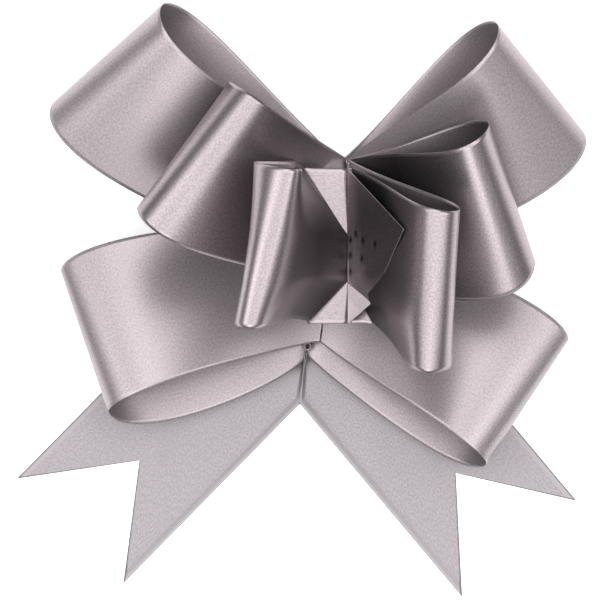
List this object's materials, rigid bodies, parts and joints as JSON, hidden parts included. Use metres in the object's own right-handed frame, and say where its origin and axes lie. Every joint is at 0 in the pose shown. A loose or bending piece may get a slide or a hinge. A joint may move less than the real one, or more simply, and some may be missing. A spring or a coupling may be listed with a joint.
{
  "type": "gift bow",
  "caption": "Butterfly pull bow of wide pearl ribbon: paired loops in tiers on a gathered centre, a folded pointed tab and two swallowtail tails.",
  "frame": {"origin": "underside of the rear gather at the tie, on the flat back", "axes": "+Z towards the front of the bow, tails towards -Y, +X to the right seen from the front"},
  "size_m": [0.117, 0.1179, 0.0456],
  "materials": {
    "wide_ribbon": "silver-mauve pearl, fine grain",
    "pull_ribbon": "silver-mauve pearl"
  },
  "bodies": {
    "tie": {"front_gather": "wide_ribbon", "second_gather": "wide_ribbon", "third_gather": "wide_ribbon", "fourth_gather": "wide_ribbon", "rear_gather": "wide_ribbon", "upper_pull_ribbon": "pull_ribbon", "lower_pull_ribbon": "pull_ribbon", "pull_ribbon_curl": "pull_ribbon"},
    "end_tab": {"end_tab": "wide_ribbon"},
    "small_loop_left": {"small_loop_left": "wide_ribbon"},
    "small_loop_right": {"small_loop_right": "wide_ribbon"},
    "medium_loop_left": {"medium_loop_left": "wide_ribbon"},
    "medium_loop_right": {"medium_loop_right": "wide_ribbon"},
    "large_loop_left": {"large_loop_left": "wide_ribbon"},
    "large_loop_right": {"large_loop_right": "wide_ribbon"},
    "low_loop_left": {"low_loop_left": "wide_ribbon"},
    "low_loop_right": {"low_loop_right": "wide_ribbon"},
    "tail_left": {"tail_left": "wide_ribbon"},
    "tail_right": {"tail_right": "wide_ribbon"}
  },
  "joints": [
    {"name": "small_left_lift", "type": "hinge", "parent": "tie", "child": "small_loop_left", "pos_m": [0.0062, 0.017, 0.01575], "axis": [0, 1, 0], "range_deg": [-3, 5]},
    {"name": "small_right_lift", "type": "hinge", "parent": "tie", "child": "small_loop_right", "pos_m": [0.0088, 0.017, 0.01575], "axis": [0, -1, 0], "range_deg": [-4, 2]},
    {"name": "medium_left_lift", "type": "hinge", "parent": "tie", "child": "medium_loop_left", "pos_m": [0.0062, 0.023, 0.01125], "axis": [0, 1, 0], "range_deg": [-3, 3]},
    {"name": "medium_right_lift", "type": "hinge", "parent": "tie", "child": "medium_loop_right", "pos_m": [0.0088, 0.023, 0.01125], "axis": [0, -1, 0], "range_deg": [-2, 3]},
    {"name": "large_left_lift", "type": "hinge", "parent": "tie", "child": "large_loop_left", "pos_m": [0.0062, 0.024, 0.00675], "axis": [0, 1, 0], "range_deg": [-3, 2]},
    {"name": "large_right_lift", "type": "hinge", "parent": "tie", "child": "large_loop_right", "pos_m": [0.0088, 0.024, 0.00675], "axis": [0, -1, 0], "range_deg": [-3, 2]},
    {"name": "low_left_lift", "type": "hinge", "parent": "tie", "child": "low_loop_left", "pos_m": [0.0022, 0.012, 0.0025], "axis": [0.14, 0.9901, 0], "range_deg": [-1.5, 4]},
    {"name": "low_right_lift", "type": "hinge", "parent": "tie", "child": "low_loop_right", "pos_m": [0.0048, 0.012, 0.0025], "axis": [-0.14, -0.9901, 0], "range_deg": [-1, 4.5]},
    {"name": "tail_left_spread", "type": "hinge", "parent": "tie", "child": "tail_left", "pos_m": [0, 0, 0], "axis": [0, 0, -1], "range_deg": [0, 12]},
    {"name": "tail_right_spread", "type": "hinge", "parent": "tie", "child": "tail_right", "pos_m": [0, 0, 0], "axis": [0, 0, 1], "range_deg": [0, 12]},
    {"name": "end_tab_fold", "type": "hinge", "parent": "tie", "child": "end_tab", "pos_m": [0.0088, 0.016, 0.0189], "axis": [0, -1, 0], "range_deg": [-3, 25]}
  ]
}
